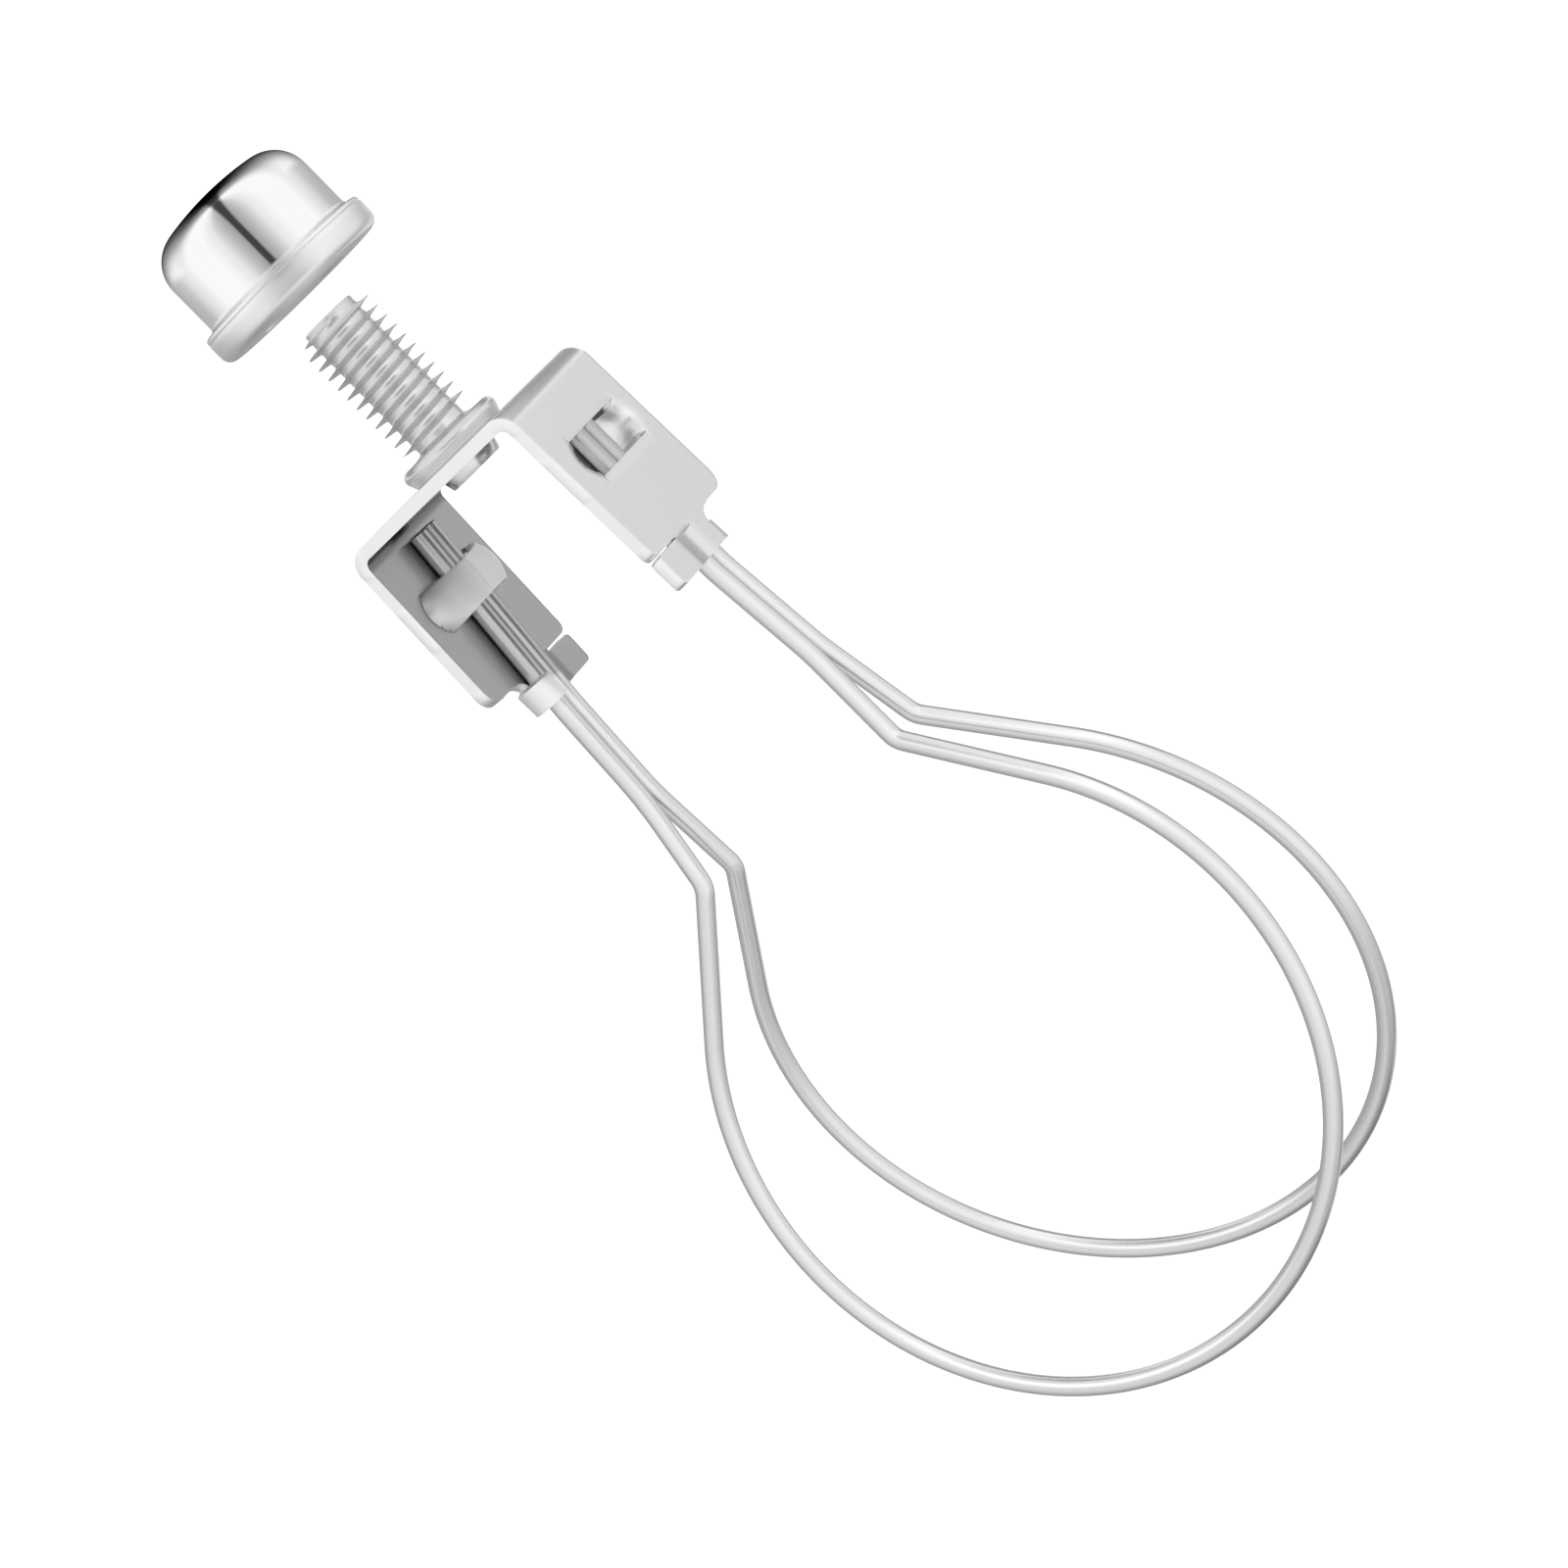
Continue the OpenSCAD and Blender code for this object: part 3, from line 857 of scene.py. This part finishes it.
def glow(light, hidden, strength=1.0):
    """Light where hidden is 0, nothing where it is 1."""
    lit = node("ShaderNodeEmission")
    feed(lit.inputs["Color"], light)
    lit.inputs["Strength"].default_value = strength
    mix = node("ShaderNodeMixShader")
    link(hidden, mix.inputs[0])
    link(lit.outputs[0], mix.inputs[1])
    link(node("ShaderNodeBsdfTransparent").outputs[0], mix.inputs[2])
    link(mix.outputs[0], node("ShaderNodeOutputMaterial").inputs[0])


def tone(v, stops):
    """Light level (up to LIGHT) against a value from 0 to 1."""
    n = node("ShaderNodeValToRGB")
    link(v, n.inputs[0])
    els = n.color_ramp.elements
    while len(els) < len(stops):
        els.new(0.5)
    for e, (p, g) in zip(els, stops):
        e.position = p
        e.color = (g / LIGHT, g / LIGHT, g / LIGHT, 1)
    return n.outputs[0]


def sin_d(a):
    return math.sin(math.radians(a))


white = new_material("floor_white")
paint = node("ShaderNodeBsdfPrincipled")
feed(paint.inputs["Base Color"], (FLOOR_WHITE, FLOOR_WHITE, FLOOR_WHITE))
paint.inputs["Roughness"].default_value = 0.9
link(paint.outputs[0], node("ShaderNodeOutputMaterial").inputs[0])
half = FLOOR_HALF
corners = [(x, y, FLOOR_Z) for x, y in ((-half, -half), (half, -half), (half, half), (-half, half))]
floor = stage_mesh("floor", corners, [(0, 1, 2, 3)], white)
floor.visible_glossy = False

# room, seen in reflections: main light to the right of the camera and a little above it
world = bpy.data.worlds.new("studio")
scene.world = world
open_tree(world)
ray = node("ShaderNodeTexCoord").outputs["Generated"]
swing = maths("ARCTAN2", dotted(ray, 0.99 * TO_RIGHT + 0.12 * UP), dotted(ray, TO_CAMERA))
room = tone(
    maths("MULTIPLY_ADD", swing, 0.5 / math.pi, 0.5),
    [
        (0, 0.4), (0.14, 0.4), (0.22, 0.5), (0.28, 0.76), (0.34, 0.84), (0.44, 0.96),
        (0.5, 1.05), (0.57, 1.08), (0.61, 1.08), (0.68, 0.92), (0.74, 0.84), (0.8, 0.85),
        (0.825, 0.8), (0.865, 0.36), (0.9, 0.4), (0.93, 0.95), (0.965, 0.9), (1, 0.45),
    ],
)
axes = axes_of(ray)
# brighter over the camera, less light from below
front = between(dotted(ray, TO_CAMERA), -0.3, 0.2)
room = blend(maths("MULTIPLY", between(axes["Z"], 0.35, 0.75), front), room, 1.1)
room = maths("MULTIPLY", room, blend(between(axes["Z"], -0.95, -0.5), 0.62, 1.0))
# darker high up behind the top bends of the strip
behind = maths("MULTIPLY", between(axes["Y"], 0.62, 0.78), between(axes["X"], -0.4, -0.2))
room = blend(maths("MULTIPLY", between(axes["Z"], 0.2, 0.4), behind), room, 0.22)
seen = node("ShaderNodeBackground")
link(room, seen.inputs[0])
seen.inputs[1].default_value = LIGHT
even = node("ShaderNodeBackground")
even.inputs[0].default_value = (1, 1, 1, 1)
even.inputs[1].default_value = LIGHT
mix = node("ShaderNodeMixShader")
link(node("ShaderNodeLightPath").outputs["Is Glossy Ray"], mix.inputs[0])
link(even.outputs[0], mix.inputs[1])
link(seen.outputs[0], mix.inputs[2])
link(mix.outputs[0], node("ShaderNodeOutputWorld").inputs[0])

# light tent over the cap, seen only in reflections and only from inside
cloth = new_material("tent_cloth")
way = node("ShaderNodeVectorMath", operation="NORMALIZE")
link(node("ShaderNodeTexCoord").outputs["Object"], way.inputs[0])
ray = way.outputs[0]
height = axes_of(ray)["Z"]
ahead = dotted(ray, TO_CAMERA)
aside = maths("ABSOLUTE", dotted(ray, TO_RIGHT))
# grey in front, white at the sides, darker behind
walls = tone(
    maths("DIVIDE", maths("ARCTAN2", aside, ahead), math.pi),
    [
        (0, 0.44), (0.04, 0.44), (0.09, 0.6), (0.16, 0.92), (0.26, 1.1), (0.44, 1.1),
        (0.58, 0.8), (0.67, 0.56), (0.8, 0.5), (0.95, 0.5), (1, 0.35),
    ],
)
# dark roof at the back
back = between(maths("ARCTAN2", height, ahead), math.radians(85), math.radians(125))
over = maths("MULTIPLY", back, between(height, sin_d(3), sin_d(18)))
roof = tone(aside, [(0, 0), (0.12, 0.02), (0.3, 0.12), (0.55, 0.42), (0.8, 0.95), (1, 1.1)])
# narrow dark gap from the front up and over to the back
middle = maths("SUBTRACT", 1.0, between(aside, 0.045, 0.11))
gap = maths("MULTIPLY", between(height, sin_d(1.6), sin_d(3.4)), middle)
open_share = maths("SUBTRACT", 1.0, maths("MULTIPLY", gap, 0.86))
inside = node("ShaderNodeNewGeometry").outputs["Backfacing"]
glow(maths("MULTIPLY", blend(over, walls, roof), open_share), inside, LIGHT)

tent_verts, tent_faces = [], []
low_edge = math.asin(TENT_LOW / TENT_R)
for i in range(TENT_ROWS + 1):
    a = low_edge + (math.pi / 2 - low_edge - 0.01) * i / TENT_ROWS
    for k in range(TENT_STEPS):
        b = 2 * math.pi * k / TENT_STEPS
        r = TENT_R * math.cos(a)
        tent_verts.append((r * math.cos(b), r * math.sin(b), TENT_R * math.sin(a)))
for i in range(TENT_ROWS):
    for k in range(TENT_STEPS):
        a, b = i * TENT_STEPS + k, i * TENT_STEPS + (k + 1) % TENT_STEPS
        tent_faces.append((a, a + TENT_STEPS, b + TENT_STEPS, b))
tent_faces.append(tuple(TENT_ROWS * TENT_STEPS + k for k in range(TENT_STEPS - 1, -1, -1)))
tent = stage_mesh("tent", tent_verts, tent_faces, cloth)
tent.data.shade_smooth()
tent.location = (0, 0, TENT_Z * MM)
glossy_only(tent)

# disc under the tent, seen only in reflections and only from below
disc = new_material("ceiling_white")
spot = node("ShaderNodeTexCoord").outputs["Object"]
off = node("ShaderNodeVectorMath", operation="LENGTH")
link(spot, off.inputs[0])
near = blend(between(dotted(spot, TO_CAMERA), -0.016, 0.004), 0.28, 0.8)
disc_light = blend(between(off.outputs["Value"], 0.036, 0.05), near, 0.95)
glow(disc_light, node("ShaderNodeNewGeometry").outputs["Backfacing"])
edge = [math.pi * k / 24 for k in range(48)]
round_edge = [(CEILING_R * math.cos(a), CEILING_R * math.sin(a), CEILING_Z) for a in edge]
ceil = stage_mesh("ceiling", round_edge, [tuple(range(47, -1, -1))], disc)
glossy_only(ceil)

# grey card in front of the stud, seen only in reflections, fading out at its sides
paper = new_material("card_grey")
spot = node("ShaderNodeTexCoord").outputs["Object"]
turned = maths("ABSOLUTE", maths("ARCTAN2", dotted(spot, TO_RIGHT), dotted(spot, TO_CAMERA)))
card_fade = between(turned, math.radians(16), math.radians(CARD_HALF))
glow((CARD_GREY, CARD_GREY, CARD_GREY), card_fade)
card_verts = []
for i in range(37):
    a = AZ - math.pi / 2 + math.radians(CARD_HALF) * (i / 18 - 1)
    for z in (CARD_LOW, CARD_HIGH):
        card_verts.append((CARD_R * math.cos(a), CARD_R * math.sin(a), z))
card_faces = [(2 * i, 2 * i + 2, 2 * i + 3, 2 * i + 1) for i in range(36)]
card = stage_mesh("card", card_verts, card_faces, paper)
glossy_only(card)

# ------------------------------------------------------------------ camera
el, dist = math.radians(0.2446), 0.35513
yaw, pitch, roll = math.radians(0.0363), math.radians(-5.3232), math.radians(-44.6092)
c = dist * np.array([math.sin(AZ) * math.cos(el), -math.cos(AZ) * math.cos(el), math.sin(el)])
fwd = -c / np.linalg.norm(c)
r = unit(np.cross(fwd, UP))
u = np.cross(r, fwd)
f2 = fwd * math.cos(yaw) + np.cross(u, fwd) * math.sin(yaw)
r2 = r * math.cos(yaw) + np.cross(u, r) * math.sin(yaw)
f3 = f2 * math.cos(pitch) + np.cross(r2, f2) * math.sin(pitch)
u3 = np.cross(r2, f3)
right = r2 * math.cos(roll) + u3 * math.sin(roll)
upv = -r2 * math.sin(roll) + u3 * math.cos(roll)
cam_data = bpy.data.cameras.new("camera")
cam_data.lens = 114.75
cam_data.sensor_width = 36
cam_data.clip_start = 0.01
cam_data.clip_end = 20
cam = bpy.data.objects.new("camera", cam_data)
scene.collection.objects.link(cam)
pos = c + np.array([0, 0, PLATE_Z * MM])
cam.matrix_world = Matrix(
    (
        (right[0], upv[0], -f3[0], pos[0]),
        (right[1], upv[1], -f3[1], pos[1]),
        (right[2], upv[2], -f3[2], pos[2]),
        (0, 0, 0, 1),
    )
)
scene.camera = cam
scene.view_settings.view_transform = "Standard"
